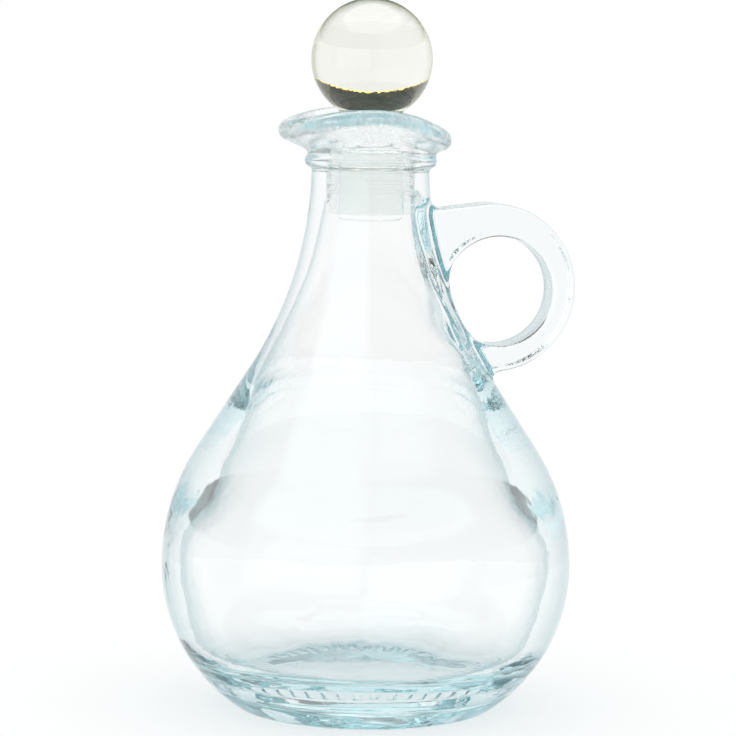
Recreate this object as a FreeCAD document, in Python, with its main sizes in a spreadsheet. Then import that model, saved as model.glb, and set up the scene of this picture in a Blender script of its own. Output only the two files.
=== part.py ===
import FreeCAD, Part
import math
import os

import Sketcher

# An oil and vinegar cruet: a pressed glass bottle with a ring handle and a waved
# lip, closed by a glass ball on a stem that sits in a soft sealing sleeve.
# Z is the axis of the bottle and z = 0 the plane it stands on. The handle points along +X.

V = FreeCAD.Vector
UP = V(0, 0, 1)
NEAR = 0.01  # two places closer than this are the same place

SIZES = {
    # outside of the bottle
    "belly_radius": 47.7,
    "belly_height": 33.0,
    "belly_flat": 6.5,  # by how much the belly's arc is larger than its height
    "heel_round": 3.2,
    "shoulder_round": 50.0,
    "slope_length": 21.7,  # the straight stretch between the shoulder and the neck
    "neck_radius": 13.6,
    "neck_foot": 126.4,
    "neck_collar": 4.6,
    "bead_lift": 0.6,
    "bead_round": 1.5,
    "bead_proud": 1.7,
    # underside
    "bearing_width": 3.9,
    "push_up_slope": 9.0,
    "push_up_depth": 3.0,
    "knurl_count": 46,
    "knurl_round": 1.2,
    "knurl_start": 1.4,
    "knurl_slope": 24.0,
    "knurl_length": 12.0,
    # inside of the bottle: walls are measured level, from the outside in
    "base_glass": 8.8,
    "floor_round": 22.1,
    "wall_heel": 7.4,
    "wall_belly": 4.6,
    "wall_settle": 9.4,
    "wall_slope": 2.3,
    "neck_wall": 3.4,
    "bore_run": 8.4,
    # lip
    "lip_flare": 6.4,
    "lip_rise": 6.2,
    "lip_thickness": 4.8,
    "lip_root": 0.25,
    "lip_sink": 0.8,
    "lip_droop": 1.9,
    "lip_tilt": 1.1,
    "spout_reach": 1.4,
    # handle
    "ring_reach": 14.6,
    "ring_drop": 28.4,
    "ring_radius": 19.5,
    "ring_width": 6.8,
    "finger_shift": 1.5,
    "finger_drop": 0.8,
    "arm_fall": 7.0,
    "handle_depth": 12.0,
    "handle_round": 2.4,
    "handle_blend": 2.0,
    # stopper and its sleeve
    "ball_radius": 14.0,
    "stem_bare": 5.4,
    "stem_proud": 1.6,
    "stem_end_round": 1.0,
    "stem_clearance": 0.05,
    "sleeve_wall": 2.1,
    "sleeve_length": 16.0,
    "rib_count": 3,
    "rib_round": 0.5,
    "rib_reach": 0.6,
    "rib_pitch": 2.3,
    "rib_start": 0.8,
    "rib_clearance": 0.1,
}

# Sizes and places that follow from the ones above.
PLACES = {
    "belly_round": "Sizes.belly_height + Sizes.belly_flat",
    "heel_centre": "Sizes.belly_radius - belly_round + sqrt((belly_round - Sizes.heel_round)^2"
                   " - (Sizes.belly_height - Sizes.heel_round)^2)",
    "bearing_inner": "heel_centre - Sizes.bearing_width",
    "push_up_radius": "bearing_inner - Sizes.push_up_slope",
    "neck_top": "Sizes.neck_foot + Sizes.neck_collar",
    "bead_centre": "Sizes.neck_radius + Sizes.bead_proud - Sizes.bead_round",
    "bead_height": "Sizes.neck_foot + Sizes.bead_lift",
    "floor_flat": "Sizes.belly_radius - Sizes.wall_belly - Sizes.floor_round",
    "bore_radius": "Sizes.neck_radius - Sizes.neck_wall",
    "bore_foot": "Sizes.neck_foot - Sizes.bore_run",
    "rim_radius": "Sizes.neck_radius + Sizes.lip_flare",
    "rim_height": "neck_top + Sizes.lip_rise",
    "arm_root": "Sizes.neck_radius - Sizes.neck_wall / 2",
    "ring_centre": "Sizes.neck_radius + Sizes.ring_reach",
    "ring_height": "Sizes.neck_foot - Sizes.ring_drop",
    "finger_centre": "ring_centre + Sizes.finger_shift",
    "finger_height": "ring_height - Sizes.finger_drop",
    "finger_radius": "Sizes.ring_radius - Sizes.ring_width",
    "sleeve_outer": "bore_radius - Sizes.rib_clearance - Sizes.rib_reach",
    "sleeve_inner": "sleeve_outer - Sizes.sleeve_wall",
    "sleeve_bottom": "neck_top - Sizes.sleeve_length",
    "rib_centre": "bore_radius - Sizes.rib_clearance - Sizes.rib_round",
    "rib_height": "bore_foot + Sizes.rib_start",
    "stem_radius": "sleeve_inner - Sizes.stem_clearance",
    "stem_bottom": "sleeve_bottom - Sizes.stem_proud",
    "ball_height": "neck_top + Sizes.stem_bare + Sizes.ball_radius",
}


def make_sheet(doc, title, cells):
    """A spreadsheet with one cell for each entry, which has its name as the alias."""
    sheet = doc.addObject("Spreadsheet::Sheet", title)
    for row, (name, content) in enumerate(cells.items(), start=1):
        sheet.set(f"A{row}", name)
        sheet.set(f"B{row}", content)
        sheet.setAlias(f"B{row}", name)
    doc.recompute()
    return sheet


class Sizes:
    """Both sheets' values as attributes, for what code has to work out."""

    def __init__(self, doc):
        sizes = make_sheet(doc, "Sizes", {name: str(value) for name, value in SIZES.items()})
        places = make_sheet(doc, "Places", {name: f"={text}" for name, text in PLACES.items()})
        for sheet, names in ((sizes, SIZES), (places, PLACES)):
            for name in names:
                setattr(self, name, float(sheet.get(name)))


def new_body(doc, name):
    body = doc.addObject("PartDesign::Body", name)
    body.Label = name
    return body


def new_sketch(body, name, role, lift=None):
    """A sketch on one of the body's own planes, raised by the cell named by lift."""
    sketch = body.newObject("Sketcher::SketchObject", name)
    plane = next(f for f in body.Origin.OriginFeatures if f.Role == role)
    sketch.AttachmentSupport = [(plane, "")]
    sketch.MapMode = "FlatFace"
    if lift:
        sketch.setExpression("AttachmentOffset.Base.z", f"Sizes.{lift}")
    return sketch


def hold(sketch, kind, refs, value, expression):
    """Adds a driving constraint and binds it to the sheet."""
    index = sketch.addConstraint(Sketcher.Constraint(kind, *refs, value))
    sketch.setExpression(f"Constraints[{index}]", expression)


def link(sketch, kind, *refs):
    sketch.addConstraint(Sketcher.Constraint(kind, *refs))


def arc(cx, cy, radius, start, end):
    """An arc in the sketch plane, from start to end in radians."""
    circle = Part.Circle(V(cx, cy, 0), UP, radius)
    return Part.ArcOfCircle(circle, start, end)


def line(x1, y1, x2, y2):
    return Part.LineSegment(V(x1, y1, 0), V(x2, y2, 0))


class Outline:
    """The outside of the bottle as tangent arcs, with the radius at any height."""

    def __init__(self, s):
        self.s = s
        rise = s.belly_height - s.heel_round
        self.heel_angle = math.asin(rise / (s.belly_round - s.heel_round))
        self.belly_x = s.belly_radius - s.belly_round
        self.shoulder_x = s.belly_radius - s.shoulder_round
        narrowing = s.belly_radius - s.neck_radius
        climb = s.neck_foot - s.belly_height
        both_rounds = (narrowing**2 + climb**2 - s.slope_length**2) / (2 * narrowing)
        self.neck_round = both_rounds - s.shoulder_round
        self.neck_x = s.neck_radius + self.neck_round
        self.slope = (math.atan2(climb, both_rounds - narrowing)
                      - math.atan2(s.slope_length, both_rounds))

    def slope_ends(self):
        """Both ends of the straight stretch between the shoulder and the neck."""
        s = self.s
        cos, sin = math.cos(self.slope), math.sin(self.slope)
        lower = (self.shoulder_x + s.shoulder_round * cos,
                 s.belly_height + s.shoulder_round * sin)
        upper = (self.neck_x - self.neck_round * cos, s.neck_foot - self.neck_round * sin)
        return lower, upper

    def radius_at(self, z):
        s = self.s
        (x1, z1), (x2, z2) = self.slope_ends()
        if z < s.belly_height:
            return self.belly_x + math.sqrt(s.belly_round**2 - (s.belly_height - z)**2)
        if z < z1:
            return self.shoulder_x + math.sqrt(s.shoulder_round**2 - (z - s.belly_height)**2)
        if z < z2:
            return x1 + (x2 - x1) * (z - z1) / (z2 - z1)
        if z < s.neck_foot:
            return self.neck_x - math.sqrt(self.neck_round**2 - (s.neck_foot - z)**2)
        return s.neck_radius


def outside_sketch(body, s):
    """Half of the bottle's outside, closed along the axis."""
    o = Outline(s)
    (x1, z1), (x2, z2) = o.slope_ends()
    sketch = new_sketch(body, "OutsideProfile", "XZ_Plane")
    sketch.addGeometry([
        line(0, 0, s.heel_centre, 0),
        arc(s.heel_centre, s.heel_round, s.heel_round, -math.pi / 2, -o.heel_angle),
        arc(o.belly_x, s.belly_height, s.belly_round, -o.heel_angle, 0),
        arc(o.shoulder_x, s.belly_height, s.shoulder_round, 0, o.slope),
        line(x1, z1, x2, z2),
        arc(o.neck_x, s.neck_foot, o.neck_round, math.pi, math.pi + o.slope),
        line(s.neck_radius, s.neck_foot, s.neck_radius, s.neck_top),
        line(s.neck_radius, s.neck_top, 0, s.neck_top),
        line(0, s.neck_top, 0, 0),
    ], False)
    bottom, heel, belly, shoulder, slope, neck, collar, top, axis = range(9)
    link(sketch, "Coincident", bottom, 1, -1, 1)
    link(sketch, "Horizontal", bottom)
    link(sketch, "Tangent", bottom, 2, heel, 1)
    link(sketch, "Tangent", heel, 2, belly, 1)
    link(sketch, "Tangent", belly, 2, shoulder, 1)
    link(sketch, "Horizontal", belly, 3, belly, 2)
    link(sketch, "Tangent", shoulder, 2, slope, 1)
    link(sketch, "Tangent", slope, 2, neck, 2)
    link(sketch, "Tangent", neck, 1, collar, 1)
    link(sketch, "Vertical", collar)
    link(sketch, "Coincident", collar, 2, top, 1)
    link(sketch, "Horizontal", top)
    link(sketch, "Coincident", top, 2, axis, 1)
    link(sketch, "PointOnObject", top, 2, -2)
    link(sketch, "Coincident", axis, 2, bottom, 1)
    hold(sketch, "Radius", (heel,), s.heel_round, "Sizes.heel_round")
    hold(sketch, "Radius", (belly,), s.belly_round, "Places.belly_round")
    hold(sketch, "Radius", (shoulder,), s.shoulder_round, "Sizes.shoulder_round")
    hold(sketch, "Distance", (slope,), s.slope_length, "Sizes.slope_length")
    hold(sketch, "DistanceX", (-1, 1, belly, 2), s.belly_radius, "Sizes.belly_radius")
    hold(sketch, "DistanceY", (-1, 1, belly, 2), s.belly_height, "Sizes.belly_height")
    hold(sketch, "DistanceX", (-1, 1, neck, 1), s.neck_radius, "Sizes.neck_radius")
    hold(sketch, "DistanceY", (-1, 1, neck, 1), s.neck_foot, "Sizes.neck_foot")
    hold(sketch, "DistanceY", (-1, 1, top, 1), s.neck_top, "Places.neck_top")
    return sketch


def revolve(body, kind, name, sketch):
    """A full Revolution or Groove of the sketch about its upright axis."""
    feature = body.newObject(f"PartDesign::{kind}", name)
    feature.Profile = sketch
    feature.ReferenceAxis = (sketch, ["V_Axis"])
    return feature


def add_bead(body, s):
    """The rounded ring below the lip."""
    sketch = new_sketch(body, "BeadProfile", "XZ_Plane")
    circle = Part.Circle(V(s.bead_centre, s.bead_height, 0), UP, s.bead_round)
    sketch.addGeometry(circle, False)
    hold(sketch, "Radius", (0,), s.bead_round, "Sizes.bead_round")
    hold(sketch, "DistanceX", (-1, 1, 0, 3), s.bead_centre, "Places.bead_centre")
    hold(sketch, "DistanceY", (-1, 1, 0, 3), s.bead_height, "Places.bead_height")
    revolve(body, "Revolution", "Bead", sketch)


def cut_push_up(body, s):
    """The hollow of the underside: a flat panel with a cone down to the bearing ring."""
    sketch = new_sketch(body, "PushUpProfile", "XZ_Plane")
    sketch.addGeometry([
        line(0, 0, s.bearing_inner, 0),
        line(s.bearing_inner, 0, s.push_up_radius, s.push_up_depth),
        line(s.push_up_radius, s.push_up_depth, 0, s.push_up_depth),
        line(0, s.push_up_depth, 0, 0),
    ], False)
    link(sketch, "Coincident", 0, 1, -1, 1)
    link(sketch, "Horizontal", 0)
    link(sketch, "Coincident", 0, 2, 1, 1)
    link(sketch, "Coincident", 1, 2, 2, 1)
    link(sketch, "Horizontal", 2)
    link(sketch, "Coincident", 2, 2, 3, 1)
    link(sketch, "Coincident", 3, 2, 0, 1)
    link(sketch, "Vertical", 3)
    hold(sketch, "DistanceX", (-1, 1, 0, 2), s.bearing_inner, "Places.bearing_inner")
    hold(sketch, "DistanceX", (-1, 1, 1, 2), s.push_up_radius, "Places.push_up_radius")
    hold(sketch, "DistanceY", (-1, 1, 1, 2), s.push_up_depth, "Sizes.push_up_depth")
    revolve(body, "Groove", "PushUp", sketch)


def cut_knurls(body, s, doc):
    """Round notches across the heel that run out on the bearing ring and up the side.

    Each is a cylinder laid along a straight line that leans up and outwards. Its lowest
    point inside the glass starts on the bearing ring, short of the heel's arc.
    """
    notch = body.newObject("PartDesign::SubtractiveCylinder", "Knurl")
    notch.setExpression("Radius", "Sizes.knurl_round")
    notch.setExpression("Height", "Sizes.knurl_length")
    notch.Placement.Rotation = FreeCAD.Rotation(V(0, 1, 0), 90 - s.knurl_slope)
    notch.setExpression("Placement.Rotation.Angle", "90 - Sizes.knurl_slope")
    notch.setExpression("Placement.Base.x", "Places.heel_centre - Sizes.knurl_start"
                        " + Sizes.knurl_round * (sin(Sizes.knurl_slope) - cos(Sizes.knurl_slope))")
    notch.setExpression("Placement.Base.z", "-Sizes.knurl_round"
                        " * (sin(Sizes.knurl_slope) + cos(Sizes.knurl_slope))")
    doc.recompute()
    pattern = body.newObject("PartDesign::PolarPattern", "Knurls")
    pattern.Originals = [notch]
    pattern.Axis = (body.getObject("OutsideProfile"), ["V_Axis"])
    pattern.Angle = 360
    pattern.setExpression("Occurrences", "Sizes.knurl_count")
    body.Tip = pattern


def make_blank(doc, s):
    """The solid outside of the bottle, with its bead, hollow underside and knurls."""
    body = new_body(doc, "Blank")
    revolve(body, "Revolution", "Outside", outside_sketch(body, s))
    add_bead(body, s)
    cut_push_up(body, s)
    cut_knurls(body, s, doc)
    doc.recompute()
    return body


def handle_sketch(body, s):
    """The ring's side view: a round end, two arms into the glass and a finger hole.

    The lower arm is level. The upper one falls a little towards the neck.
    """
    fall = math.radians(s.arm_fall)
    low = s.ring_height - s.ring_radius
    leave_x = s.ring_centre - s.ring_radius * math.sin(fall)
    leave_z = s.ring_height + s.ring_radius * math.cos(fall)
    root_z = leave_z - (leave_x - s.arm_root) * math.tan(fall)
    sketch = new_sketch(body, "HandleProfile", "XZ_Plane")
    sketch.addGeometry([
        arc(s.ring_centre, s.ring_height, s.ring_radius, -math.pi / 2, math.pi / 2 + fall),
        line(leave_x, leave_z, s.arm_root, root_z),
        line(s.arm_root, root_z, s.arm_root, low),
        line(s.arm_root, low, s.ring_centre, low),
        Part.Circle(V(s.finger_centre, s.finger_height, 0), UP, s.finger_radius),
    ], False)
    ring, upper_arm, root, lower_arm, finger = range(5)
    link(sketch, "Tangent", ring, 2, upper_arm, 1)
    link(sketch, "Coincident", upper_arm, 2, root, 1)
    link(sketch, "Coincident", root, 2, lower_arm, 1)
    link(sketch, "Tangent", lower_arm, 2, ring, 1)
    link(sketch, "Vertical", root)
    link(sketch, "Horizontal", lower_arm)
    hold(sketch, "Radius", (ring,), s.ring_radius, "Sizes.ring_radius")
    hold(sketch, "DistanceX", (-1, 1, ring, 3), s.ring_centre, "Places.ring_centre")
    hold(sketch, "DistanceY", (-1, 1, ring, 3), s.ring_height, "Places.ring_height")
    hold(sketch, "DistanceX", (-1, 1, root, 1), s.arm_root, "Places.arm_root")
    hold(sketch, "Angle", (lower_arm, 1, upper_arm, 2), fall, "Sizes.arm_fall * 1deg")
    hold(sketch, "Radius", (finger,), s.finger_radius, "Places.finger_radius")
    hold(sketch, "DistanceX", (-1, 1, finger, 3), s.finger_centre, "Places.finger_centre")
    hold(sketch, "DistanceY", (-1, 1, finger, 3), s.finger_height, "Places.finger_height")
    return sketch


def make_handle(doc, s):
    """The ring handle, flat sided with rounded edges."""
    body = new_body(doc, "Handle")
    pad = body.newObject("PartDesign::Pad", "Ring")
    pad.Profile = handle_sketch(body, s)
    pad.SideType = "Symmetric"
    pad.setExpression("Length", "Sizes.handle_depth")
    doc.recompute()
    edges = [f"Edge{i}" for i, edge in enumerate(pad.Shape.Edges, start=1)
             if abs(abs(edge.CenterOfMass.y) - s.handle_depth / 2) < 1e-6
             and edge.BoundBox.XMax > s.ring_centre - 1]
    rounding = body.newObject("PartDesign::Fillet", "RoundEdges")
    rounding.Base = (pad, edges)
    rounding.setExpression("Radius", "Sizes.handle_round")
    body.Tip = rounding
    doc.recompute()
    return body


def mix(a, b, share):
    return a + (b - a) * share


def wall_stations(s):
    """Heights of the inside with the wall there, from the heel up to the bore.

    The glass has run a little before it set: it is thick at the heel and where the
    shoulder leaves the belly, and thinnest at the top of the slope.
    """
    (_, z1), (_, z2) = Outline(s).slope_ends()
    return [
        (mix(s.base_glass, s.belly_height, 0.30), s.wall_heel),
        (s.belly_height, s.wall_belly),
        (mix(s.belly_height, z1, 0.50), mix(s.wall_belly, s.wall_settle, 0.40)),
        (mix(s.belly_height, z1, 0.92), s.wall_settle),
        (mix(z1, z2, 0.42), mix(s.wall_slope, s.wall_settle, 0.55)),
        (z2, s.wall_slope),
        (mix(z2, s.bore_foot, 0.50), mix(s.wall_slope, s.neck_wall, 0.40)),
    ]


def make_cavity(doc, s):
    """The inside: one smooth curve through the stations, then the straight bore."""
    o = Outline(s)
    points = [V(s.floor_flat, 0, s.base_glass)]
    points += [V(o.radius_at(z) - wall, 0, z) for z, wall in wall_stations(s)]
    points += [V(s.bore_radius, 0, s.bore_foot)]
    curve = Part.BSplineCurve()
    curve.interpolate(Points=points, InitialTangent=V(1, 0, 0), FinalTangent=UP, Scale=False)
    top = s.rim_height + s.lip_thickness
    edges = [
        Part.makeLine(V(0, 0, s.base_glass), points[0]),
        curve.toShape(),
        Part.makeLine(points[-1], V(s.bore_radius, 0, top)),
        Part.makeLine(V(s.bore_radius, 0, top), V(0, 0, top)),
        Part.makeLine(V(0, 0, top), V(0, 0, s.base_glass)),
    ]
    cavity = doc.addObject("Part::Feature", "Cavity")
    cavity.Shape = Part.Face(Part.Wire(edges)).revolve(V(0, 0, 0), UP, 360)
    return cavity


def lip_section(s):
    """The flange's section as a closed curve: a slanted strip with two round ends."""
    half = s.lip_thickness / 2
    tip = V(s.rim_radius - half, s.rim_height - half, 0)
    root = V(s.bore_radius + s.lip_root, s.neck_top - s.lip_sink, 0)
    lean = math.atan2(tip.y - root.y, tip.x - root.x)
    turns = [-math.pi / 2, 0, math.pi / 2]
    points = [tip + V(math.cos(lean + t), math.sin(lean + t), 0) * half for t in turns]
    points += [root - V(math.cos(lean + t), math.sin(lean + t), 0) * half for t in turns]
    curve = Part.BSplineCurve()
    curve.interpolate(Points=points, PeriodicFlag=True)
    return curve


def wave(s, angle):
    """How far the rim rises and reaches out at an angle from the handle."""
    rise = -s.lip_tilt * math.cos(angle) - s.lip_droop * math.cos(2 * angle)
    reach = -s.spout_reach * math.cos(angle)
    return rise, reach


def ease(x):
    x = min(max(x, 0), 1)
    return x * x * (3 - 2 * x)


def quarters(surface):
    """Four faces of a closed surface: a single face closed both ways defeats a boolean."""
    u0, u1, v0, v1 = surface.bounds()
    u_mid, v_mid = (u0 + u1) / 2, (v0 + v1) / 2
    return [surface.toShape(a, b, c, d)
            for a, b in ((u0, u_mid), (u_mid, u1)) for c, d in ((v0, v_mid), (v_mid, v1))]


def make_lip(doc, s):
    """The flared lip, bent into a wave that droops at the spout and over the handle.

    The section's poles go round the axis as a doubly periodic B-spline surface. Each is
    raised by the wave, fully at the rim and not at all in the neck. A cubic through evenly
    spaced poles falls inside them by the factor shrink, which the radius makes up for.
    """
    section = lip_section(s)
    root_z = s.neck_top - s.lip_sink
    tip_z = s.rim_height - s.lip_thickness / 2
    count = 24
    step = 2 * math.pi / count
    shrink = (2 + math.cos(step)) / 3
    rows = []
    for k in range(count):
        angle = k * step
        rise, reach = wave(s, angle)
        row = []
        for pole in section.getPoles():
            share = ease((pole.y - root_z) / (tip_z - root_z))
            radius = (pole.x + share * reach) / shrink
            row.append(V(radius * math.cos(angle), radius * math.sin(angle), pole.y + share * rise))
        rows.append(row)
    surface = Part.BSplineSurface()
    surface.buildFromPolesMultsKnots(
        rows, [1] * (count + 1), section.getMultiplicities(),
        [float(k) for k in range(count + 1)], section.getKnots(), True, True, 3, section.Degree)
    shell = Part.Shell(quarters(surface))
    shell.sewShape()
    lip = doc.addObject("Part::Feature", "Lip")
    lip.Shape = Part.Solid(shell)
    return lip


def boolean(doc, kind, name, **parts):
    """A Fuse or a Cut with its faces left as cut: merging them loses the lip."""
    feature = doc.addObject(f"Part::{kind}", name)
    feature.Refine = False
    for key, value in parts.items():
        setattr(feature, key, value)
    doc.recompute()
    return feature


def blend_handle(doc, s, joined, handle):
    """Rounds the seam where the handle runs into the neck and the shoulder."""
    o = Outline(s)
    seam = []
    for index, edge in enumerate(joined.Shape.Edges, start=1):
        middle = edge.valueAt((edge.FirstParameter + edge.LastParameter) / 2)
        off_body = abs(math.hypot(middle.x, middle.y) - o.radius_at(middle.z))
        if off_body < NEAR and handle.Shape.distToShape(Part.Vertex(middle))[0] < NEAR:
            seam.append((index, s.handle_blend, s.handle_blend))
    blend = doc.addObject("Part::Fillet", "HandleBlend")
    blend.Base = joined
    blend.Edges = seam
    doc.recompute()
    return blend


def make_bottle(doc, s):
    """The bottle: blank, handle and lip as one piece of glass, hollowed by the cavity."""
    blank = make_blank(doc, s)
    handle = make_handle(doc, s)
    joined = boolean(doc, "Fuse", "BlankWithHandle", Base=blank, Tool=handle)
    blended = blend_handle(doc, s, joined, handle)
    lipped = boolean(doc, "Fuse", "WithLip", Base=blended, Tool=make_lip(doc, s))
    bottle = boolean(doc, "Cut", "Bottle", Base=lipped, Tool=make_cavity(doc, s))
    bottle.Label = "bottle"
    return bottle


def make_stopper(doc, s):
    """The ball and its stem, one piece of glass."""
    ball = doc.addObject("Part::Sphere", "Ball")
    ball.setExpression("Radius", "Sizes.ball_radius")
    ball.setExpression("Placement.Base.z", "Places.ball_height")
    stem = doc.addObject("Part::Cylinder", "Stem")
    stem.setExpression("Radius", "Places.stem_radius")
    stem.setExpression("Height", "Places.ball_height - Places.stem_bottom")
    stem.setExpression("Placement.Base.z", "Places.stem_bottom")
    doc.recompute()
    end = next(i for i, edge in enumerate(stem.Shape.Edges, start=1)
               if edge.Closed and abs(edge.CenterOfMass.z - s.stem_bottom) < NEAR)
    rounded = doc.addObject("Part::Fillet", "RoundStem")
    rounded.Base = stem
    rounded.Edges = [(end, s.stem_end_round, s.stem_end_round)]
    stopper = boolean(doc, "Fuse", "Stopper", Base=ball, Tool=rounded)
    stopper.Label = "stopper"
    return stopper


def sleeve_sketch(body, s):
    """The sleeve's wall, a plain rectangle clear of the stem."""
    sketch = new_sketch(body, "SleeveProfile", "XZ_Plane")
    sketch.addGeometry([
        line(s.sleeve_inner, s.sleeve_bottom, s.sleeve_outer, s.sleeve_bottom),
        line(s.sleeve_outer, s.sleeve_bottom, s.sleeve_outer, s.neck_top),
        line(s.sleeve_outer, s.neck_top, s.sleeve_inner, s.neck_top),
        line(s.sleeve_inner, s.neck_top, s.sleeve_inner, s.sleeve_bottom),
    ], False)
    for side in range(4):
        link(sketch, "Coincident", side, 2, (side + 1) % 4, 1)
        link(sketch, "Horizontal" if side % 2 == 0 else "Vertical", side)
    hold(sketch, "DistanceX", (-1, 1, 0, 1), s.sleeve_inner, "Places.sleeve_inner")
    hold(sketch, "DistanceX", (-1, 1, 0, 2), s.sleeve_outer, "Places.sleeve_outer")
    hold(sketch, "DistanceY", (-1, 1, 0, 1), s.sleeve_bottom, "Places.sleeve_bottom")
    hold(sketch, "DistanceY", (-1, 1, 1, 2), s.neck_top, "Places.neck_top")
    return sketch


def rib_sketch(body, s):
    """The round ribs that the bore squeezes, one circle each."""
    sketch = new_sketch(body, "RibProfile", "XZ_Plane")
    for k in range(round(s.rib_count)):
        level = s.rib_height + k * s.rib_pitch
        sketch.addGeometry(Part.Circle(V(s.rib_centre, level, 0), UP, s.rib_round), False)
        hold(sketch, "Radius", (k,), s.rib_round, "Sizes.rib_round")
        hold(sketch, "DistanceX", (-1, 1, k, 3), s.rib_centre, "Places.rib_centre")
        hold(sketch, "DistanceY", (-1, 1, k, 3), level,
             f"Places.rib_height + {k} * Sizes.rib_pitch")
    return sketch


def make_sleeve(doc, s):
    """The soft sleeve round the stem, with thin ribs that seal the bore."""
    body = new_body(doc, "sleeve")
    revolve(body, "Revolution", "Tube", sleeve_sketch(body, s))
    revolve(body, "Revolution", "Ribs", rib_sketch(body, s))
    doc.recompute()
    return body


def check(doc, nodes):
    """Stops the build if any object failed or any node isn't one sound solid."""
    for item in doc.Objects:
        if "Invalid" in item.State or "Error" in item.State:
            raise RuntimeError(f"{item.Label} failed: {item.State}")
    for node in nodes:
        shape = node.Shape
        if shape.isNull() or not shape.isValid() or len(shape.Solids) != 1:
            raise RuntimeError(f"{node.Label} is not one sound solid")


def main():
    doc = FreeCAD.newDocument("Cruet")
    s = Sizes(doc)
    nodes = [make_bottle(doc, s), make_stopper(doc, s), make_sleeve(doc, s)]
    check(doc, nodes)
    os.makedirs("parts", exist_ok=True)
    for node in nodes:
        node.Shape.exportStep(f"parts/{node.Label}.step")
        box = node.Shape.BoundBox
        print(node.Label, round(node.Shape.Volume / 1000, 2), "ml of solid,",
              [round(v, 2) for v in (box.XMin, box.XMax, box.YMin, box.YMax, box.ZMin, box.ZMax)])


main()
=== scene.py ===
import math

import bpy
import numpy as np
import openvdb
from mathutils import Matrix, Vector


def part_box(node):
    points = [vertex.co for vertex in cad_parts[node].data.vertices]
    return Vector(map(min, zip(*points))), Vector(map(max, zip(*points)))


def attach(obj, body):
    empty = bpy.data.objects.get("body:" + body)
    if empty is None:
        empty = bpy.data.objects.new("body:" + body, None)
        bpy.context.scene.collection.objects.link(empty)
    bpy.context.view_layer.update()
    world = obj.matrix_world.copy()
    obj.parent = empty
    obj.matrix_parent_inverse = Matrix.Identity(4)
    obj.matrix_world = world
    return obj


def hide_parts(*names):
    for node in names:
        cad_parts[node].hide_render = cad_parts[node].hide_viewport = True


# A clear glass oil and vinegar cruet: the bottle's glass is one mesh made from a field of
# signed distances, and its stopper and sleeve are turned shapes. Fields work in millimetres
# in the frame of the CAD model, and meshes are scaled to metres when they are made.

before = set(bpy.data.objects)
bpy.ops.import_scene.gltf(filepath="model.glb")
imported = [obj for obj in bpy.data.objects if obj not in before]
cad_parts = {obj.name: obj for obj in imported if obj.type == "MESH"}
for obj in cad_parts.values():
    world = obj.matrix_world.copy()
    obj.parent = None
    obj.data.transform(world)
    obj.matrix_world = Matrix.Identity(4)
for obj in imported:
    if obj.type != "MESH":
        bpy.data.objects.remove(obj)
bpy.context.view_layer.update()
MM = 0.001


def node_box(name):
    """A node's lowest and highest corner in millimetres."""
    low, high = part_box(name)
    return np.array(low) / MM, np.array(high) / MM


BOTTLE_LOW, BOTTLE_HIGH = node_box("bottle")
STOPPER_LOW, STOPPER_HIGH = node_box("stopper")
SLEEVE_LOW, SLEEVE_HIGH = node_box("sleeve")

# ------------------------------------------------------------------ sizes, in millimetres
BELLY_RADIUS = BOTTLE_HIGH[1]
BELLY_HEIGHT = 33.0
BELLY_ROUND = 39.5
HEEL_ROUND = 3.2
SHOULDER_ROUND = 50.0
SLOPE_LENGTH = 21.7
NECK_RADIUS = 13.6
NECK_FOOT = SLEEVE_HIGH[2] - 4.6
NECK_TOP = SLEEVE_HIGH[2]
BEAD_HEIGHT = NECK_FOOT + 0.6
BEAD_ROUND = 1.5
BEAD_REACH = NECK_RADIUS + 1.7

BASE_GLASS = 8.8
FLOOR_SWEEP = 10.0
BORE_RADIUS = NECK_RADIUS - 3.4
BORE_FOOT = NECK_FOOT - 8.4
# height above the table and wall measured level, where the glass settled
WALLS = [(5, 4.8), (28, 4.7), (38, 4.7), (46.5, 6.4), (55, 8.9), (62, 8.0), (70, 5.4),
         (79, 3.0), (88, 2.3), (100, 2.6), (BORE_FOOT, 3.4)]

# the inner wall's unevenness: depth, size and seed, and where it belongs to the handle its
# height, rise and turn (in radians)
BACKING = {"depth": 1.2, "height": 96, "rise": 17, "turn": 0.55}
SWIRL = {"depth": 1.2, "size": 14, "seed": 11, "height": 90, "rise": 16, "turn": 0.8}
WAVE = {"depth": 0.45, "size": 34, "seed": 3, "fade": 20}
FLOOR_WAVE = {"depth": 0.25, "size": 17, "seed": 5}
# the wall leans, so a gap across it is shorter than the same gap in radius
WALL_LEAN = 0.9

# height, half width and depth of each mould seam above the heel
SEAMS = [(5.2, 0.5, 0.12), (8.6, 0.7, 0.10)]
# how softly each part runs into the body
JOINS = {"push_up": 0.8, "knurls": 0.5, "bead": 0.9, "handle": 3.2, "lip": 2.0, "hollow": 1.6}

BEARING_INNER = 25.0
PUSH_UP_RADIUS = 16.0
PUSH_UP_DEPTH = 3.0
KNURL_COUNT = 46
KNURL_ROUND = 1.2
KNURL_INNER = 25.8
KNURL_OUTER = 28.6
KNURL_DEPTH = 0.6

LIP_HALF = 2.4
LIP_ROOT = (BORE_RADIUS + 0.25, NECK_TOP - 0.8)
LIP_TIP = (NECK_RADIUS + 6.4 - LIP_HALF, NECK_TOP + 6.2 - LIP_HALF)
LIP_DROOP = 1.9
LIP_TILT = 1.1
SPOUT_REACH = 1.4

RING_RADIUS = 19.5
RING_CENTRE = (NECK_RADIUS + 14.6, NECK_FOOT - 28.4)
FINGER_RADIUS = 12.7
FINGER_CENTRE = (RING_CENTRE[0] + 1.5, RING_CENTRE[1] - 0.8)
ARM_FALL = math.radians(7)
ARM_ROOT = NECK_RADIUS - 2
HANDLE_DEPTH = 12.0
HANDLE_ROUND = 1.2


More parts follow.
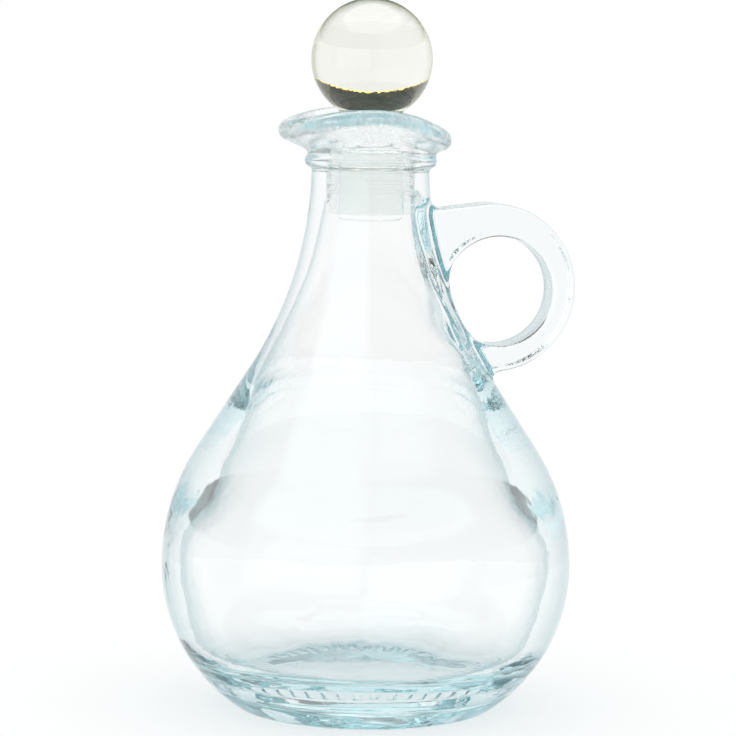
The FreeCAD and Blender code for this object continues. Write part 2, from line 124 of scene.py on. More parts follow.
# ------------------------------------------------------------------ fields
def soft_min(a, b, k):
    """The smaller of two distances, with a hollow of about radius k where they meet."""
    h = np.maximum(k - np.abs(a - b), 0) / k
    return np.minimum(a, b) - h * h * k / 4


def soft_max(a, b, k):
    return -soft_min(-a, -b, k)


def spline(stations):
    """A natural cubic spline through (x, y) stations, as a function of arrays."""
    x, y = np.array(stations, float).T
    n = len(x)
    h = np.diff(x)
    system = np.eye(n)
    right = np.zeros(n)
    for i in range(1, n - 1):
        system[i, i - 1:i + 2] = h[i - 1], 2 * (h[i - 1] + h[i]), h[i]
        right[i] = 6 * ((y[i + 1] - y[i]) / h[i] - (y[i] - y[i - 1]) / h[i - 1])
    bend = np.linalg.solve(system, right)

    def value(at):
        at = np.clip(at, x[0], x[-1])
        i = np.clip(np.searchsorted(x, at) - 1, 0, n - 2)
        a, b, step = x[i + 1] - at, at - x[i], h[i]
        return ((bend[i] * a**3 + bend[i + 1] * b**3) / (6 * step)
                + (y[i] / step - bend[i] * step / 6) * a
                + (y[i + 1] / step - bend[i + 1] * step / 6) * b)
    return value


class Outline:
    """The bottle's outside as tangent arcs in the plane of radius and height."""

    def __init__(self):
        rise = BELLY_HEIGHT - HEEL_ROUND
        reach = BELLY_ROUND - HEEL_ROUND
        self.heel_angle = math.asin(rise / reach)
        self.belly_x = BELLY_RADIUS - BELLY_ROUND
        self.heel_x = self.belly_x + reach * math.cos(self.heel_angle)
        self.shoulder_x = BELLY_RADIUS - SHOULDER_ROUND
        narrowing = BELLY_RADIUS - NECK_RADIUS
        climb = NECK_FOOT - BELLY_HEIGHT
        rounds = (narrowing**2 + climb**2 - SLOPE_LENGTH**2) / (2 * narrowing)
        self.neck_round = rounds - SHOULDER_ROUND
        self.neck_x = NECK_RADIUS + self.neck_round
        self.slope = math.atan2(climb, rounds - narrowing) - math.atan2(SLOPE_LENGTH, rounds)
        cos, sin = math.cos(self.slope), math.sin(self.slope)
        self.low = (self.shoulder_x + SHOULDER_ROUND * cos, BELLY_HEIGHT + SHOULDER_ROUND * sin)
        self.high = (self.neck_x - self.neck_round * cos, NECK_FOOT - self.neck_round * sin)

    def radius(self, z):
        """The radius at a height, above the heel's arc."""
        belly = self.belly_x + np.sqrt(np.maximum(BELLY_ROUND**2 - (BELLY_HEIGHT - z)**2, 0))
        shoulder = self.shoulder_x + np.sqrt(np.maximum(
            SHOULDER_ROUND**2 - (z - BELLY_HEIGHT)**2, 0))
        (x1, z1), (x2, z2) = self.low, self.high
        slope = x1 + (x2 - x1) * (z - z1) / (z2 - z1)
        neck = self.neck_x - np.sqrt(np.maximum(self.neck_round**2 - (NECK_FOOT - z)**2, 0))
        return np.select([z < BELLY_HEIGHT, z < z1, z < z2, z < NECK_FOOT],
                         [belly, shoulder, slope, neck], NECK_RADIUS)

    def distance(self, r, z):
        """Signed distance to the wall, negative in the glass."""
        cos, sin = math.cos(self.slope), math.sin(self.slope)
        (x1, z1), _ = self.low, self.high
        heel = np.hypot(r - self.heel_x, z - HEEL_ROUND) - HEEL_ROUND
        belly = np.hypot(r - self.belly_x, z - BELLY_HEIGHT) - BELLY_ROUND
        shoulder = np.hypot(r - self.shoulder_x, z - BELLY_HEIGHT) - SHOULDER_ROUND
        slope = (r - x1) * cos + (z - z1) * sin
        neck = self.neck_round - np.hypot(r - self.neck_x, z - NECK_FOOT)
        along = -(r - x1) * sin + (z - z1) * cos
        heel_turn = ((HEEL_ROUND - z) * math.cos(self.heel_angle)
                     > (r - self.heel_x) * math.sin(self.heel_angle))
        side = np.select(
            [heel_turn & (r > self.heel_x), z < BELLY_HEIGHT, along < 0, along < SLOPE_LENGTH,
             z < NECK_FOOT],
            [heel, belly, shoulder, slope, neck], r - NECK_RADIUS)
        return np.maximum(side, -z)


OUT = Outline()
WALL = spline(WALLS)


RIPPLE_DIRECTIONS = 7


def ripple(x, y, z, size, seed):
    """Slow waves of about the given size, from a few fixed directions."""
    rng = np.random.default_rng(seed)
    total = 0
    for _ in range(RIPPLE_DIRECTIONS):
        direction = rng.normal(size=3)
        direction /= np.linalg.norm(direction)
        length = size * rng.uniform(0.7, 1.5)
        turn = rng.uniform(0, 2 * math.pi)
        dot = x * direction[0] + y * direction[1] + z * direction[2]
        total = total + np.sin(dot * (2 * math.pi / length) + turn)
    return total / RIPPLE_DIRECTIONS


def bump(distance, width):
    """A smooth hill, one at no distance."""
    return np.exp(-(distance / width)**2)


def behind_handle(spot, angle, z):
    """How strongly a local feature shows: most behind the handle, at its own height."""
    return bump(angle, spot["turn"]) * bump(z - spot["height"], spot["rise"]) * spot["depth"]


def inside(x, y, z, r, angle):
    """The hollow of the bottle, negative in the air."""
    backing = behind_handle(BACKING, angle, z)
    swirl = behind_handle(SWIRL, angle, z) * ripple(x, y, z, SWIRL["size"], SWIRL["seed"])
    waves = (ripple(x, y, z, WAVE["size"], WAVE["seed"]) * WAVE["depth"]
             * np.clip((BORE_FOOT - z) / WAVE["fade"], 0, 1))
    radius = np.where(z < BORE_FOOT, OUT.radius(z) - WALL(z) - backing, BORE_RADIUS)
    wall = (r - radius + waves + swirl) * WALL_LEAN
    uneven = ripple(x, y, 0 * z, FLOOR_WAVE["size"], FLOOR_WAVE["seed"]) * FLOOR_WAVE["depth"]
    floor = BASE_GLASS + uneven - z
    return soft_max(wall, floor, FLOOR_SWEEP)


def lip(r, angle, z):
    """The flange, a round-ended strip whose tip follows the wave."""
    rise = -LIP_TILT * np.cos(angle) - LIP_DROOP * np.cos(2 * angle)
    reach = -SPOUT_REACH * np.cos(angle)
    dx = LIP_TIP[0] + reach - LIP_ROOT[0]
    dz = LIP_TIP[1] + rise - LIP_ROOT[1]
    x, z = r - LIP_ROOT[0], z - LIP_ROOT[1]
    share = np.clip((x * dx + z * dz) / (dx * dx + dz * dz), 0, 1)
    return np.hypot(x - share * dx, z - share * dz) - LIP_HALF


def handle(x, y, z):
    """The ring handle: its side view pulled through the depth, with rounded edges."""
    u, w = x - RING_CENTRE[0], z - RING_CENTRE[1]
    sin, cos = math.sin(ARM_FALL), math.cos(ARM_FALL)
    ring = np.hypot(u, w) - RING_RADIUS
    upper = np.where(u * cos + w * sin < 0, w * cos - u * sin - RING_RADIUS, ring)
    lower = np.where(u < 0, -w - RING_RADIUS, ring)
    hole = FINGER_RADIUS - np.hypot(x - FINGER_CENTRE[0], z - FINGER_CENTRE[1])
    side = np.maximum(np.maximum(np.maximum(upper, lower), hole), ARM_ROOT - x)
    a = side + HANDLE_ROUND
    b = np.abs(y) - HANDLE_DEPTH / 2 + HANDLE_ROUND
    outer = np.hypot(np.maximum(a, 0), np.maximum(b, 0))
    return np.minimum(np.maximum(a, b), 0) + outer - HANDLE_ROUND


def knurls(r, angle, z):
    """Notches across the ring that it stands on, the same in every sector."""
    sector = 2 * math.pi / KNURL_COUNT
    local = (angle + sector / 2) % sector - sector / 2
    u = r * np.cos(local)
    v = r * np.sin(local)
    beyond = u - np.clip(u, KNURL_INNER, KNURL_OUTER)
    return np.sqrt(beyond**2 + v**2 + (z + KNURL_ROUND - KNURL_DEPTH)**2) - KNURL_ROUND


def glass(x, y, z):
    """The whole bottle's glass, negative inside it."""
    r, angle = np.hypot(x, y), np.arctan2(y, x)
    body = np.maximum(OUT.distance(r, z), z - NECK_TOP)
    for height, width, depth in SEAMS:
        body = body + depth * bump(z - height, width)
    push_up = PUSH_UP_DEPTH * (BEARING_INNER - r) / (BEARING_INNER - PUSH_UP_RADIUS)
    body = soft_max(body, np.minimum(push_up, PUSH_UP_DEPTH) - z, JOINS["push_up"])
    body = soft_max(body, -knurls(r, angle, z), JOINS["knurls"])
    bead = np.hypot(r - BEAD_REACH + BEAD_ROUND, z - BEAD_HEIGHT) - BEAD_ROUND
    body = soft_min(body, bead, JOINS["bead"])
    body = soft_min(body, handle(x, y, z), JOINS["handle"])
    body = soft_min(body, lip(r, angle, z), JOINS["lip"])
    return soft_max(body, -inside(x, y, z, r, angle), JOINS["hollow"])


# ------------------------------------------------------------------ field to mesh
def dense_field(field, low, high, cell, coarse=3, reach=3.2, spare=0.3):
    """The field on a grid: once for every block of coarse cells, and cell by cell within reach
    half blocks of the surface, with some millimetres to spare."""
    shape = np.ceil((high - low) / cell).astype(int) + 1
    shape = ((shape + coarse - 1) // coarse) * coarse
    axes = [low[i] + cell * np.arange(shape[i]) for i in range(3)]
    middles = [a.reshape(-1, coarse).mean(1) for a in axes]
    rough = field(*np.meshgrid(*middles, indexing="ij"))
    grid = np.repeat(np.repeat(np.repeat(rough, coarse, 0), coarse, 1), coarse, 2)
    near = np.abs(grid) < reach * cell * coarse / 2 + spare
    i, j, k = np.nonzero(near)
    grid[near] = field(axes[0][i], axes[1][j], axes[2][k])
    return grid


def gradient(field, points, step=0.02):
    """The field's slope at each point."""
    axes = np.eye(3) * step
    rows = [field(*(points + a).T) - field(*(points - a).T) for a in axes]
    return np.array(rows).T / (2 * step)


def onto(field, points, rounds=2, most=0.4):
    """Moves points onto the surface, at most that far in a round and along an axis, and gives
    the outward normals there."""
    for _ in range(rounds):
        slope = gradient(field, points)
        size = np.maximum((slope**2).sum(1), 1e-3)
        move = slope * (field(*points.T) / size)[:, None]
        points = points - np.clip(move, -most, most)
    slope = gradient(field, points)
    return points, slope / np.maximum(np.linalg.norm(slope, axis=1), 1e-9)[:, None]


def relax(points, faces):
    """Each point goes to the middle of its neighbours along the faces' sides."""
    total = np.zeros_like(points)
    count = np.zeros(len(points))
    for a, b in ((0, 1), (1, 2), (2, 3), (3, 0)):
        for i, j in ((faces[:, a], faces[:, b]), (faces[:, b], faces[:, a])):
            for axis in range(3):
                total[:, axis] += np.bincount(i, points[j, axis], len(points))
            count += np.bincount(i, minlength=len(points))
    return total / count[:, None]


def mesh_of(field, low, high, cell, rounds=2):
    """A smooth closed quad mesh on the field's surface, in millimetres."""
    values = dense_field(field, low, high, cell)
    grid = openvdb.FloatGrid()
    grid.copyFromArray(values.astype(np.float32))
    points, faces = grid.convertToQuads(isovalue=0)
    points = points.astype(float) * cell + low
    for _ in range(rounds):
        points, _ = onto(field, relax(points, faces), 1)
    points, normals = onto(field, points)
    return points, faces, normals


# ------------------------------------------------------------------ pieces
def make_piece(name, points, faces, normals, material, slot, lower=None):
    """A mesh piece in metres that rides with the body. lower is a second material and the
    height up to which it is used."""
    mesh = bpy.data.meshes.new(name)
    mesh.from_pydata((points * MM).tolist(), [], faces.tolist())
    mesh.polygons.foreach_set("use_smooth", np.ones(len(mesh.polygons), bool))
    mesh.normals_split_custom_set_from_vertices(normals.tolist())
    mesh.materials.append(material)
    if lower:
        mesh.materials.append(lower[0])
        under = points[faces][:, :, 2].mean(1) < lower[1]
        mesh.polygons.foreach_set("material_index", under.astype(np.int32))
    piece = bpy.data.objects.new(name, mesh)
    bpy.context.scene.collection.objects.link(piece)
    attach(piece, "root")
    return piece


def thinned(points, faces, share):
    """The same surface in fewer faces, kept finer where it bends."""
    mesh = bpy.data.meshes.new("thinning")
    mesh.from_pydata((points * MM).tolist(), [], faces.tolist())
    piece = bpy.data.objects.new("thinning", mesh)
    bpy.context.scene.collection.objects.link(piece)
    fewer = piece.modifiers.new("fewer", "DECIMATE")
    fewer.ratio = share
    result = piece.evaluated_get(bpy.context.evaluated_depsgraph_get()).to_mesh()
    result.calc_loop_triangles()
    points = np.empty(len(result.vertices) * 3)
    result.vertices.foreach_get("co", points)
    faces = np.empty(len(result.loop_triangles) * 3, np.int32)
    result.loop_triangles.foreach_get("vertices", faces)
    bpy.data.objects.remove(piece)
    bpy.data.meshes.remove(mesh)
    return points.reshape(-1, 3) / MM, faces.reshape(-1, 3)


def turned(profile, sides):
    """Points, faces and normals of a closed shape turned from its (radius, height) outline."""
    profile = np.array(profile, float)
    turn = 2 * math.pi * np.arange(sides) / sides
    ring = np.stack([np.cos(turn), np.sin(turn)], 1)
    count = len(profile)
    points = np.stack([np.outer(ring[:, 0], profile[:, 0]), np.outer(ring[:, 1], profile[:, 0]),
                       np.tile(profile[:, 1], (sides, 1))], 2).reshape(-1, 3)
    step = np.roll(profile, -1, 0) - np.roll(profile, 1, 0)
    flat = np.stack([step[:, 1], -step[:, 0]], 1)
    flat /= np.maximum(np.linalg.norm(flat, axis=1), 1e-9)[:, None]
    normals = np.stack([np.outer(ring[:, 0], flat[:, 0]), np.outer(ring[:, 1], flat[:, 0]),
                        np.tile(flat[:, 1], (sides, 1))], 2).reshape(-1, 3)
    side, along = np.meshgrid(np.arange(sides), np.arange(count), indexing="ij")
    here, after = side * count, (side + 1) % sides * count
    beyond = (along + 1) % count
    faces = np.stack([here + along, after + along, after + beyond, here + beyond], 2)
    return points, faces.reshape(-1, 4), normals


# ------------------------------------------------------------------ materials
def node(tree, kind, inputs=(), **settings):
    """A shader node with its settings, and with each input linked or set."""
    made = tree.nodes.new(kind)
    for key, value in settings.items():
        setattr(made, key, value)
    for key, value in dict(inputs).items():
        if isinstance(value, bpy.types.NodeSocket):
            tree.links.new(value, made.inputs[key])
        else:
            made.inputs[key].default_value = value
    return made


def fresh(name):
    """A new material and its empty tree."""
    material = bpy.data.materials.new(name)
    material.use_nodes = True
    material.node_tree.nodes.clear()
    return material, material.node_tree


def noise(tree, size, detail=2.0, rough=0.5):
    """Noise about size millimetres across, fixed to the object."""
    place = node(tree, "ShaderNodeTexCoord").outputs["Object"]
    return node(tree, "ShaderNodeTexNoise",
                {"Vector": place, "Scale": 1 / (size * MM), "Detail": detail,
                 "Roughness": rough}).outputs["Fac"]


def hazed(tree, shader, amount):
    """Part of the light spread evenly both ways, as by fine bubbles or milky plastic."""
    white = (0.95, 0.96, 0.96, 1)
    scatter = node(tree, "ShaderNodeMixShader",
                   {0: 0.5, 1: node(tree, "ShaderNodeBsdfDiffuse", {"Color": white}).outputs[0],
                    2: node(tree, "ShaderNodeBsdfTranslucent", {"Color": white}).outputs[0]})
    return node(tree, "ShaderNodeMixShader", {0: amount, 1: shader, 2: scatter.outputs[0]})


def maths(tree, operation, a, b=0.0):
    """One sum on two values."""
    return node(tree, "ShaderNodeMath", {0: a, 1: b}, operation=operation).outputs[0]


def spread(tree, value, start, end, low, high, interpolation_type="LINEAR"):
    """Goes from low to high as the value goes from start to end."""
    return node(tree, "ShaderNodeMapRange",
                {"Value": value, "From Min": start, "From Max": end, "To Min": low,
                 "To Max": high}, interpolation_type=interpolation_type).outputs[0]


def ramp(tree, value, start, end, low, high):
    """The same with a smooth start and end."""
    return spread(tree, value, start, end, low, high, "SMOOTHSTEP")


def mixed(tree, amount, a, b):
    """Two colours mixed."""
    return node(tree, "ShaderNodeMix", {"Factor": amount, "A": a, "B": b},
                data_type="RGBA").outputs["Result"]


def facing(tree, blend):
    """How far the surface turns away from the eye."""
    return node(tree, "ShaderNodeLayerWeight", {"Blend": blend}).outputs["Facing"]


def lit_through(tree, shader, colour):
    """The shader, but light on its way to the floor goes straight through in this colour."""
    path = node(tree, "ShaderNodeLightPath").outputs
    light = maths(tree, "MAXIMUM", path["Is Shadow Ray"], path["Is Diffuse Ray"])
    through = node(tree, "ShaderNodeBsdfTransparent", {"Color": colour})
    return node(tree, "ShaderNodeMixShader", {0: light, 1: shader, 2: through.outputs[0]})


WHITE = (1, 1, 1, 1)
LIGHT_THROUGH_FACE = (0.99, 0.99, 0.99, 1)
LIGHT_THROUGH_EDGE = (0.84, 0.86, 0.87, 1)
LIGHT_THROUGH_PLASTIC = (0.92, 0.94, 0.93, 1)
# how far the surface turns from the eye where the painted edge shade begins and where it is full
EDGE_SHADE_START, EDGE_SHADE_END = 0.45, 0.90
GLASS_SMEAR = 0.02
HAZE_RISE = 5
BUBBLE_SIZE = 2.2


def glass_material(name, passed, density, ripple_size, ripple_depth, haze=None, ior=1.52,
                   painted_edge_shade=WHITE, painted_reflection_shade=WHITE):
    """Clear tinted glass whose surface waves a little. haze is the height from which fine
    bubbles whiten it, and how much. The edge colour is painted shade, taken where the surface
    turns away from the eye, and the reflection tint is painted shade that darkens every
    reflection."""
    material, tree = fresh(name)
    wave = node(tree, "ShaderNodeBump",
                {"Strength": 1.0, "Distance": ripple_depth * MM,
                 "Height": noise(tree, ripple_size)}).outputs[0]
    smear = spread(tree, noise(tree, 3 * ripple_size), 0.45, 0.7, 0.0, GLASS_SMEAR)
    # painted shade: the glass's colour goes darker towards its rims, where the surface turns
    # away from the eye, as dark surroundings would show there
    shade_at_rims = ramp(tree, facing(tree, 0.5), EDGE_SHADE_START, EDGE_SHADE_END, 0, 1)
    outside = maths(tree, "SUBTRACT", 1.0,
                    node(tree, "ShaderNodeNewGeometry").outputs["Backfacing"])
    tint = mixed(tree, maths(tree, "MULTIPLY", shade_at_rims, outside), WHITE, painted_edge_shade)
    # the reflection tint is painted shade: it darkens and tints every reflection on the glass
    shader = node(tree, "ShaderNodeBsdfPrincipled",
                  {"Base Color": tint, "Transmission Weight": 1.0, "Roughness": smear,
                   "Normal": wave, "IOR": ior, "Specular Tint": painted_reflection_shade})
    if haze:
        start, most = haze
        place = node(tree, "ShaderNodeTexCoord").outputs["Object"]
        up = node(tree, "ShaderNodeSeparateXYZ", {0: place}).outputs[2]
        grown = spread(tree, up, start * MM, (start + HAZE_RISE) * MM, 0, most)
        speckle = spread(tree, noise(tree, BUBBLE_SIZE, 4), 0.35, 0.65, 0.4, 1.4)
        shader = hazed(tree, shader.outputs[0], maths(tree, "MULTIPLY", grown, speckle))
    shade = mixed(tree, facing(tree, 0.35), LIGHT_THROUGH_FACE, LIGHT_THROUGH_EDGE)
    surface = lit_through(tree, shader.outputs[0], shade)
    volume = node(tree, "ShaderNodeVolumeAbsorption", {"Color": passed, "Density": density})
    node(tree, "ShaderNodeOutputMaterial",
         {"Surface": surface.outputs[0], "Volume": volume.outputs[0]})
    return material


def plastic_material(name, ior=1.10, milkiness=0.14):
    """Soft clear plastic, a little cloudy."""
    material, tree = fresh(name)
    cloud = spread(tree, noise(tree, 4), 0.3, 0.7, 0.04, 0.12)
    shade = mixed(tree, noise(tree, 6), (0.97, 0.98, 0.97, 1), (0.93, 0.95, 0.94, 1))
    shader = node(tree, "ShaderNodeBsdfPrincipled",
                  {"Base Color": shade, "Transmission Weight": 1.0, "Roughness": cloud,
                   "IOR": ior})
    shader = hazed(tree, shader.outputs[0], milkiness)
    surface = lit_through(tree, shader.outputs[0], LIGHT_THROUGH_PLASTIC)
    node(tree, "ShaderNodeOutputMaterial", {"Surface": surface.outputs[0]})
    return material


# ------------------------------------------------------------------ the bottle
# the colour that each glass lets pass, and how strongly it takes the rest
AQUA = {"passed": (0.0, 0.66, 0.75, 1), "density": 4.2}
OLIVE = {"passed": (0.40, 0.48, 0.0, 1), "density": 5.0}

# the bottle's edge colour is painted dark teal shade along its rims, and its reflection tint is
# painted shade on every reflection
bottle_glass = glass_material("bottle_glass", ripple_size=9, ripple_depth=0.10,
                              haze=(NECK_TOP - 3, 0.22), painted_edge_shade=(0.26, 0.42, 0.46, 1),
                              painted_reflection_shade=(0.50, 0.64, 0.68, 1), **AQUA)
# the stopper's edge colour is painted shade: a dark olive ring round the ball's rim
stopper_glass = glass_material("stopper_glass", ripple_size=14, ripple_depth=0.04,
                               painted_edge_shade=(0.40, 0.42, 0.28, 1), **OLIVE)
stem_glass = glass_material("stem_glass", ripple_size=14, ripple_depth=0.04, ior=1.14,
                            passed=OLIVE["passed"], density=0.5)
sleeve_plastic = plastic_material("sleeve_plastic")

CELL = 0.7
MOST_FACES = 196000
MARGIN = 2.0

points, faces, normals = mesh_of(glass, BOTTLE_LOW - MARGIN, BOTTLE_HIGH + MARGIN, CELL)
if 2 * len(faces) > MOST_FACES:
    points, faces = thinned(points, faces, MOST_FACES / (2 * len(faces)))
    points, normals = onto(glass, points)
bottle = make_piece("bottle_body", points, faces, normals, bottle_glass, "bottle_glass")
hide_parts("bottle")

# ------------------------------------------------------------------ stopper and sleeve
BALL_RADIUS = 14.0
BALL_HEIGHT = STOPPER_HIGH[2] - BALL_RADIUS
STEM_RADIUS = 7.35
STEM_END = 1.0
STEM_FILLET = 0.9
# outlines stop just short of the axis
ON_AXIS = 1e-4
BALL_TOP = 89.99

SLEEVE_OUTER = 9.5
SLEEVE_INNER = 7.4
SLEEVE_CORNER = 0.3
RIB_ROUND = 0.5
RIB_PROUD = 0.1
RIB_HEIGHTS = (123.4, 121.1, 118.8)


def arc(centre, radius, start, end, steps):
    """Points on an arc from one angle to another, in degrees from outward."""
    turns = np.radians(np.linspace(start, end, steps))
    return [(centre[0] + radius * math.cos(t), centre[1] + radius * math.sin(t)) for t in turns]


def line(start, end, step=0.8):
    """Points along a straight stretch, both ends too."""
    count = max(2, int(math.dist(start, end) / step) + 1)
    return [tuple(p) for p in np.linspace(start, end, count)]


def stopper_profile():
    """The stem from its foot, the fillet, and the ball up to its top."""
    bottom = STOPPER_LOW[2]
    inset = STEM_RADIUS - STEM_END
    fillet_x = STEM_RADIUS + STEM_FILLET
    fillet_z = BALL_HEIGHT - math.sqrt((BALL_RADIUS + STEM_FILLET)**2 - fillet_x**2)
    lean = math.degrees(math.atan2(fillet_z - BALL_HEIGHT, fillet_x))
    return (line((ON_AXIS, bottom), (inset, bottom))[:-1]
            + arc((inset, bottom + STEM_END), STEM_END, -90, 0, 10)
            + line((STEM_RADIUS, bottom + STEM_END), (STEM_RADIUS, fillet_z))[1:-1]
            + arc((fillet_x, fillet_z), STEM_FILLET, 180, 180 + lean, 10)
            + arc((0, BALL_HEIGHT), BALL_RADIUS, lean, BALL_TOP, 110)[1:])


def ribbed_side(low, high):
    """The sleeve's outside from the top down, with its ribs as round beads."""
    down = []
    for rib in RIB_HEIGHTS:
        down += line((SLEEVE_OUTER, high), (SLEEVE_OUTER, rib + RIB_ROUND))[:-1]
        down += arc((SLEEVE_OUTER + RIB_PROUD, rib), RIB_ROUND, 88, -88, 12)
        high = rib - RIB_ROUND
    return down + line((SLEEVE_OUTER, high), (SLEEVE_OUTER, low))[:-1]


def sleeve_profile():
    """A tube with rounded corners and ribs outside."""
    low, high = SLEEVE_LOW[2] + SLEEVE_CORNER, SLEEVE_HIGH[2] - SLEEVE_CORNER
    inner, outer = SLEEVE_INNER + SLEEVE_CORNER, SLEEVE_OUTER - SLEEVE_CORNER
    up = line((SLEEVE_INNER, low), (SLEEVE_INNER, high))
    top = (arc((inner, high), SLEEVE_CORNER, 180, 90, 5)
           + arc((outer, high), SLEEVE_CORNER, 90, 0, 5))
    foot = (arc((outer, low), SLEEVE_CORNER, 0, -90, 5)
            + arc((inner, low), SLEEVE_CORNER, -90, -180, 5))
    return (up + top + ribbed_side(low, high) + foot)[::-1]


SIDES = 224
STEM_SHOWN = NECK_TOP + 5
stopper = make_piece("stopper_ball", *turned(stopper_profile(), SIDES), stopper_glass,
                     "stopper_glass", lower=(stem_glass, STEM_SHOWN))
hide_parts("stopper")
sleeve = make_piece("neck_sleeve", *turned(sleeve_profile(), SIDES), sleeve_plastic,
                    "sleeve_plastic")
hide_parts("sleeve")

# ------------------------------------------------------------------ floor
FLOOR_RADIUS = 0.30
FLOOR_SIDES = 128


def make_floor():
    """A round white floor that keeps the cruet's shadow."""
    turn = 2 * math.pi * np.arange(FLOOR_SIDES) / FLOOR_SIDES
    mesh = bpy.data.meshes.new("floor")
    mesh.from_pydata([(FLOOR_RADIUS * math.cos(t), FLOOR_RADIUS * math.sin(t), 0) for t in turn],
                     [], [list(range(FLOOR_SIDES))])
    material, tree = fresh("floor_white")
    tint = mixed(tree, noise(tree, 60), (0.97, 0.97, 0.97, 1), (0.955, 0.96, 0.96, 1))
    shader = node(tree, "ShaderNodeBsdfPrincipled",
                  {"Base Color": tint, "Roughness": 0.9, "Specular IOR Level": 0.0})
    node(tree, "ShaderNodeOutputMaterial", {"Surface": shader.outputs[0]})
    mesh.materials.append(material)
    floor = bpy.data.objects.new("floor", mesh)
    bpy.context.scene.collection.objects.link(floor)


make_floor()


# ------------------------------------------------------------------ light
# What the glass reflects and refracts: panels of sky, the brightest where several meet.
# middle is the bearing from +Y towards -X, half the half width, all in degrees.
ALL_ROUND = 181
PANELS = [
    {"middle": 0, "half": ALL_ROUND, "low": -95, "high": 25, "strength": 0.80, "soft": 4},
    {"middle": 8, "half": 82, "low": -95, "high": 25, "strength": 0.98, "soft": 8},
    {"middle": 134, "half": 36, "low": -20, "high": 58, "strength": 1.5, "soft": 7},
    {"middle": 0, "half": ALL_ROUND, "low": 50, "high": 95, "strength": 1.6, "soft": 5},
    {"middle": 0, "half": ALL_ROUND, "low": -95, "high": -12, "strength": 0.98, "soft": 4},
]
PANEL_TOP_SOFT = 1.5
SKY = 0.28
DIFFUSE_LIGHT = 1.06


def panel(tree, bearing, height, middle, half, low, high, strength, soft):
    """Light from a soft-edged panel of sky, at a direction's bearing and height."""
    aside = node(tree, "ShaderNodeMath",
                 {0: maths(tree, "SUBTRACT", bearing, middle), 1: 180.0, 2: -180.0},
                 operation="WRAP").outputs[0]
    across = ramp(tree, maths(tree, "ABSOLUTE", aside), half - soft, half + soft, 1, 0)
    above = ramp(tree, height, low - soft, low + soft, 0, 1)
    below = ramp(tree, height, high - PANEL_TOP_SOFT, high + PANEL_TOP_SOFT, 1, 0)
    area = maths(tree, "MULTIPLY", maths(tree, "MULTIPLY", across, above), below)
    return maths(tree, "MULTIPLY", area, strength)


def make_world():
    """White to the camera, even light on the floor, and the panels in the glass."""
    world = bpy.data.worlds.new("studio")
    bpy.context.scene.world = world
    world.use_nodes = True
    tree = world.node_tree
    tree.nodes.clear()
    way = node(tree, "ShaderNodeTexCoord").outputs["Generated"]
    parts = node(tree, "ShaderNodeSeparateXYZ", {0: way}).outputs
    west = maths(tree, "MULTIPLY", parts[0], -1.0)
    bearing = maths(tree, "DEGREES", maths(tree, "ARCTAN2", west, parts[1]))
    height = maths(tree, "DEGREES", maths(tree, "ARCSINE", parts[2]))
    seen = SKY
    for spot in PANELS:
        seen = maths(tree, "MAXIMUM", seen, panel(tree, bearing, height, **spot))
    path = node(tree, "ShaderNodeLightPath").outputs
    clear = maths(tree, "MAXIMUM", path["Is Glossy Ray"], path["Is Transmission Ray"])
    light = node(tree, "ShaderNodeMix", {"Factor": clear, "A": DIFFUSE_LIGHT, "B": seen})
    level = node(tree, "ShaderNodeMix",
                 {"Factor": path["Is Camera Ray"], "A": light.outputs[0], "B": 1.0}).outputs[0]
    shader = node(tree, "ShaderNodeBackground", {"Color": WHITE, "Strength": level})
    node(tree, "ShaderNodeOutputWorld", {"Surface": shader.outputs[0]})


make_world()

# A dark collar round the ball, seen only in the glass, with a ragged bright lower rim.
COLLAR_RADIUS = 70
COLLAR_LOW = STOPPER_HIGH[2] + 6.6
COLLAR_HIGH = STOPPER_HIGH[2] + 57.6
COLLAR_FADE = 1
COLLAR_COLOUR = (0.055, 0.06, 0.045, 1)
COLLAR_SIDES = 64
RIM_DEPTH = 2.0
RIM_EDGE = 0.1
RIM_COLOUR = (1.5, 1.25, 0.35, 1)


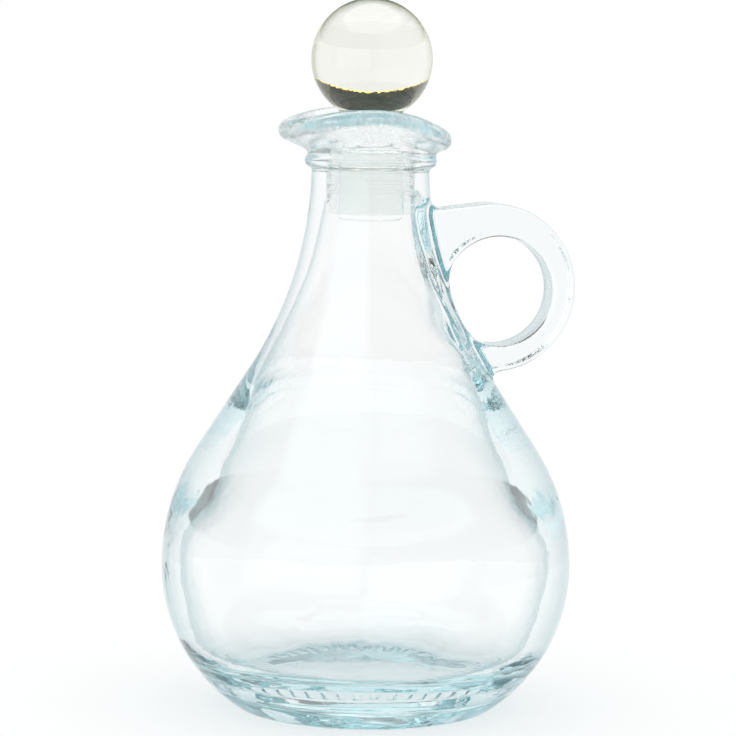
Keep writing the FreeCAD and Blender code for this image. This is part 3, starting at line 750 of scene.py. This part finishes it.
def make_collar(name):
    """An open band of dull light that only the glass reflects and refracts."""
    turn = np.radians(np.linspace(-180, 180, COLLAR_SIDES + 1))
    points = [(-math.sin(t) * COLLAR_RADIUS * MM, math.cos(t) * COLLAR_RADIUS * MM, z * MM)
              for t in turn for z in (COLLAR_LOW, COLLAR_HIGH)]
    faces = [(2 * i, 2 * i + 2, 2 * i + 3, 2 * i + 1) for i in range(COLLAR_SIDES)]
    mesh = bpy.data.meshes.new(name)
    mesh.from_pydata(points, [], faces)
    material, tree = fresh(name)
    uneven = spread(tree, noise(tree, 12), 0.3, 0.7, 0.7, 1.3)
    dark = node(tree, "ShaderNodeEmission", {"Color": COLLAR_COLOUR, "Strength": uneven})
    lit = node(tree, "ShaderNodeEmission", {"Color": RIM_COLOUR, "Strength": 1.0})
    up = node(tree, "ShaderNodeSeparateXYZ",
              {0: node(tree, "ShaderNodeTexCoord").outputs["Object"]}).outputs[2]
    ragged = ramp(tree, noise(tree, 2.5, 3), 0.35, 0.65, 0, RIM_DEPTH * MM)
    rim = ramp(tree, maths(tree, "SUBTRACT", up, ragged),
               (COLLAR_LOW - RIM_EDGE) * MM, (COLLAR_LOW + RIM_EDGE) * MM, 1, 0)
    shine = node(tree, "ShaderNodeMixShader", {0: rim, 1: dark.outputs[0], 2: lit.outputs[0]})
    shown = ramp(tree, up, (COLLAR_HIGH - COLLAR_FADE) * MM, COLLAR_HIGH * MM, 1, 0)
    clear = node(tree, "ShaderNodeBsdfTransparent")
    surface = node(tree, "ShaderNodeMixShader", {0: shown, 1: clear.outputs[0],
                                                 2: shine.outputs[0]})
    node(tree, "ShaderNodeOutputMaterial", {"Surface": surface.outputs[0]})
    mesh.materials.append(material)
    collar = bpy.data.objects.new(name, mesh)
    bpy.context.scene.collection.objects.link(collar)
    collar.visible_camera = False
    collar.visible_diffuse = False
    collar.visible_shadow = False


make_collar("card_collar")

# ------------------------------------------------------------------ camera
CAMERA_DISTANCE = 0.700
CAMERA_HEIGHT = 0.155
CAMERA_BEARING = math.radians(-9)
CAMERA_DROP = math.radians(6.2)
CAMERA_ROLL = math.radians(0.75)
CAMERA_LENS = 148.2
CAMERA_SENSOR = 36
CAMERA_CLIP = 0.01


def make_camera():
    """The photograph's camera, a little above the shoulder and looking down."""
    data = bpy.data.cameras.new("camera")
    data.lens = CAMERA_LENS
    data.sensor_width = CAMERA_SENSOR
    data.clip_start = CAMERA_CLIP
    camera = bpy.data.objects.new("camera", data)
    place = Vector((math.sin(CAMERA_BEARING) * CAMERA_DISTANCE,
                    -math.cos(CAMERA_BEARING) * CAMERA_DISTANCE, CAMERA_HEIGHT))
    target = Vector((0, 0, CAMERA_HEIGHT - CAMERA_DISTANCE * math.tan(CAMERA_DROP)))
    turn = (target - place).to_track_quat("-Z", "Y").to_matrix()
    camera.matrix_world = (Matrix.Translation(place) @ turn.to_4x4()
                           @ Matrix.Rotation(CAMERA_ROLL, 4, "Z"))
    bpy.context.scene.collection.objects.link(camera)
    bpy.context.scene.camera = camera


make_camera()
bpy.context.scene.view_settings.view_transform = "Standard"
# light guided in the glass needs many bounces, or it ends black
GLASS_BOUNCES = 32
for kind in ("max_bounces", "transmission_bounces", "glossy_bounces", "transparent_max_bounces"):
    setattr(bpy.context.scene.cycles, kind, GLASS_BOUNCES)
